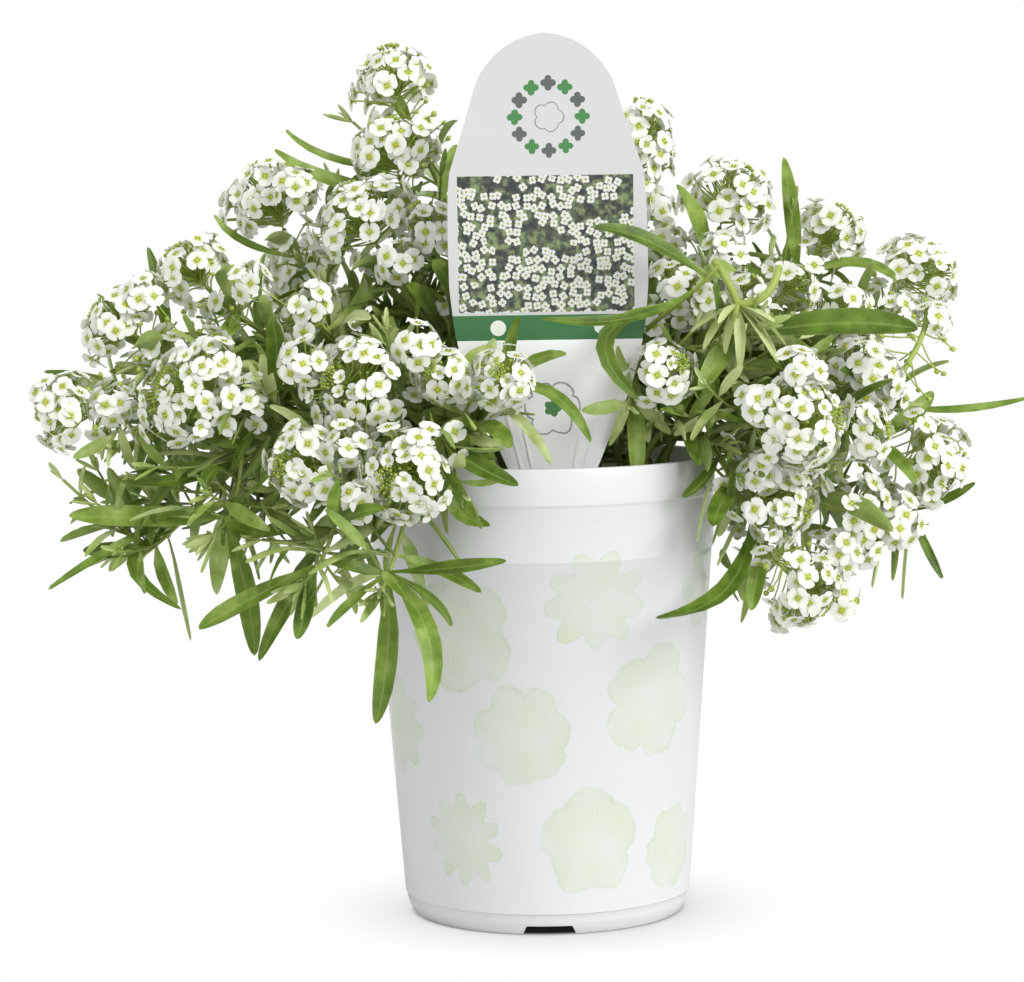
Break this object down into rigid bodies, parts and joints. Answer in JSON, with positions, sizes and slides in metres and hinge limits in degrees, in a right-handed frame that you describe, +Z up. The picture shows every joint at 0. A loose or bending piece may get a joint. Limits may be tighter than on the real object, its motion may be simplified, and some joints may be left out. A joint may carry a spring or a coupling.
{
  "type": "potted sweet alyssum",
  "caption": "Bushy sweet alyssum with white flower heads and narrow leaves, in a tapered white nursery pot with soil and an upright label.",
  "frame": {"origin": "on the ground, at the middle of the pot's foot ring", "axes": "+Z up along the pot's axis, +X to the plant's wide right side, -Y towards the front, where the label faces"},
  "size_m": [0.2945, 0.1657, 0.2546],
  "materials": {
    "pot": "satin",
    "soil": "matte",
    "label": "satin",
    "foliage": "matte",
    "blossom": "matte"
  },
  "bodies": {
    "root": {"pot": "pot", "soil": "soil", "tag": "label", "stem_01": "foliage", "stem_02": "foliage", "stem_03": "foliage", "stem_04": "foliage", "stem_05": "foliage", "stem_06": "foliage", "stem_07": "foliage", "stem_08": "foliage", "stem_09": "foliage", "stem_10": "foliage", "stem_11": "foliage", "stem_12": "foliage", "stem_13": "foliage", "stem_14": "foliage", "stem_15": "foliage", "stem_16": "foliage", "stem_17": "foliage", "stem_18": "foliage", "stem_19": "foliage", "stem_20": "foliage", "head_01": "blossom", "head_02": "blossom", "head_03": "blossom", "head_04": "blossom", "head_05": "blossom", "head_06": "blossom", "head_07": "blossom", "head_08": "blossom", "head_09": "blossom", "head_10": "blossom", "head_11": "blossom", "head_12": "blossom", "head_13": "blossom", "head_14": "blossom", "head_15": "blossom", "head_16": "blossom", "head_17": "blossom", "head_18": "blossom", "head_19": "blossom", "head_20": "blossom", "head_21": "blossom", "head_22": "blossom", "head_23": "blossom", "head_24": "blossom", "head_25": "blossom", "head_26": "blossom", "head_27": "blossom", "head_28": "blossom", "head_29": "blossom", "head_30": "blossom", "head_31": "blossom", "head_32": "blossom", "head_33": "blossom", "head_34": "blossom", "head_35": "blossom", "head_36": "blossom"}
  },
  "joints": []
}
